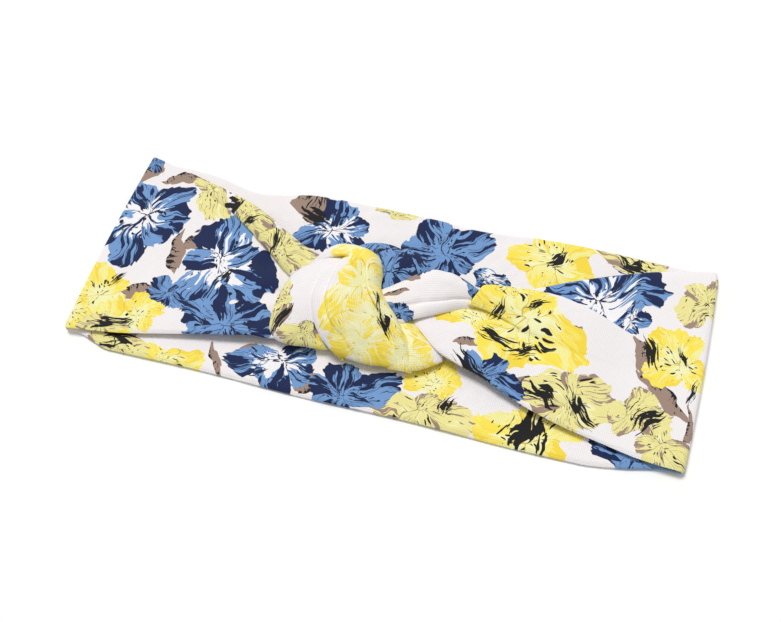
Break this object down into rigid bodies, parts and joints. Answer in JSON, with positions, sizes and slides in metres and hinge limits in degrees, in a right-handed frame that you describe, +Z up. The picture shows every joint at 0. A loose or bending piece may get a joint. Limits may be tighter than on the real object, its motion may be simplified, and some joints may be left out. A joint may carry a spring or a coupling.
{
  "type": "knotted fabric headband",
  "caption": "Wide stretch-cotton headband with a floral print, knotted at the front and laid flat; its loop opens for wearing.",
  "frame": {"origin": "centre of the flat band's footprint, on the plane it rests on", "axes": "+X along the band towards its right fold, +Y across the band towards its upper long edge, +Z up, from the back half to the knotted front half"},
  "size_m": [0.2398, 0.089, 0.0191],
  "materials": {
    "printed_jersey": "matt printed cotton jersey: blue, yellow and lime flowers with brown leaves on off-white",
    "jersey_inner_ply": "matt cotton jersey, the second ply of the tube and its seam allowances",
    "sewing_thread": "off-white spun polyester thread"
  },
  "bodies": {
    "back_centre_left": {"back_centre_left_outer_ply": "printed_jersey", "back_centre_left_inner_ply": "jersey_inner_ply", "back_centre_left_seam_allowance": "jersey_inner_ply", "back_centre_left_seam_thread": "sewing_thread", "closing_allowance_left": "jersey_inner_ply", "closing_seam_thread": "sewing_thread"},
    "back_left": {"back_left_outer_ply": "printed_jersey", "back_left_inner_ply": "jersey_inner_ply", "back_left_seam_allowance": "jersey_inner_ply", "back_left_seam_thread": "sewing_thread", "left_fold_lower_outer_ply": "printed_jersey", "left_fold_lower_inner_ply": "jersey_inner_ply"},
    "front_left": {"front_left_outer_ply": "printed_jersey", "front_left_inner_ply": "jersey_inner_ply", "front_left_seam_allowance": "jersey_inner_ply", "front_left_seam_thread": "sewing_thread", "left_fold_upper_outer_ply": "printed_jersey", "left_fold_upper_inner_ply": "jersey_inner_ply"},
    "knot": {"knot_standing_strand": "printed_jersey", "knot_lens_strand": "printed_jersey", "knot_return_strand": "printed_jersey", "knot_wrap_roll": "printed_jersey", "knot_wrap": "printed_jersey", "knot_exit_strand": "printed_jersey", "knot_exit_flap": "printed_jersey"},
    "front_right": {"front_right_outer_ply": "printed_jersey", "front_right_inner_ply": "jersey_inner_ply", "front_right_seam_allowance": "jersey_inner_ply", "front_right_seam_thread": "sewing_thread", "right_fold_upper_outer_ply": "printed_jersey", "right_fold_upper_inner_ply": "jersey_inner_ply"},
    "back_right": {"back_right_outer_ply": "printed_jersey", "back_right_inner_ply": "jersey_inner_ply", "back_right_seam_allowance": "jersey_inner_ply", "back_right_seam_thread": "sewing_thread", "right_fold_lower_outer_ply": "printed_jersey", "right_fold_lower_inner_ply": "jersey_inner_ply"},
    "back_centre_right": {"back_centre_right_outer_ply": "printed_jersey", "back_centre_right_inner_ply": "jersey_inner_ply", "back_centre_right_seam_allowance": "jersey_inner_ply", "back_centre_right_seam_thread": "sewing_thread", "closing_allowance_right": "jersey_inner_ply"}
  },
  "joints": [
    {"name": "loop_open", "type": "hinge", "parent": "back_centre_left", "child": "back_left", "pos_m": [-0.042, 0, 0.001], "axis": [0, 1, 0], "range_deg": [0, 60]},
    {"name": "left_fold_bend", "type": "hinge", "parent": "back_left", "child": "front_left", "pos_m": [-0.12, 0, 0.0023], "axis": [0, -1, 0], "range_deg": [0, 120]},
    {"name": "left_knot_bend", "type": "hinge", "parent": "front_left", "child": "knot", "pos_m": [-0.042, 0, 0.0036], "axis": [0, 1, 0], "range_deg": [0, 60]},
    {"name": "right_knot_bend", "type": "hinge", "parent": "knot", "child": "front_right", "pos_m": [0.042, 0, 0.0036], "axis": [0, 1, 0], "range_deg": [0, 60]},
    {"name": "right_fold_bend", "type": "hinge", "parent": "front_right", "child": "back_right", "pos_m": [0.12, 0, 0.0023], "axis": [0, -1, 0], "range_deg": [0, 120]},
    {"name": "right_back_bend", "type": "hinge", "parent": "back_right", "child": "back_centre_right", "pos_m": [0.042, 0, 0.001], "axis": [0, 1, 0], "range_deg": [0, 60]}
  ],
  "couplings": [
    {"joint": "left_fold_bend", "follows": "loop_open", "ratio": 2},
    {"joint": "left_knot_bend", "follows": "loop_open", "ratio": 1},
    {"joint": "right_knot_bend", "follows": "loop_open", "ratio": 1},
    {"joint": "right_fold_bend", "follows": "loop_open", "ratio": 2},
    {"joint": "right_back_bend", "follows": "loop_open", "ratio": 1}
  ]
}
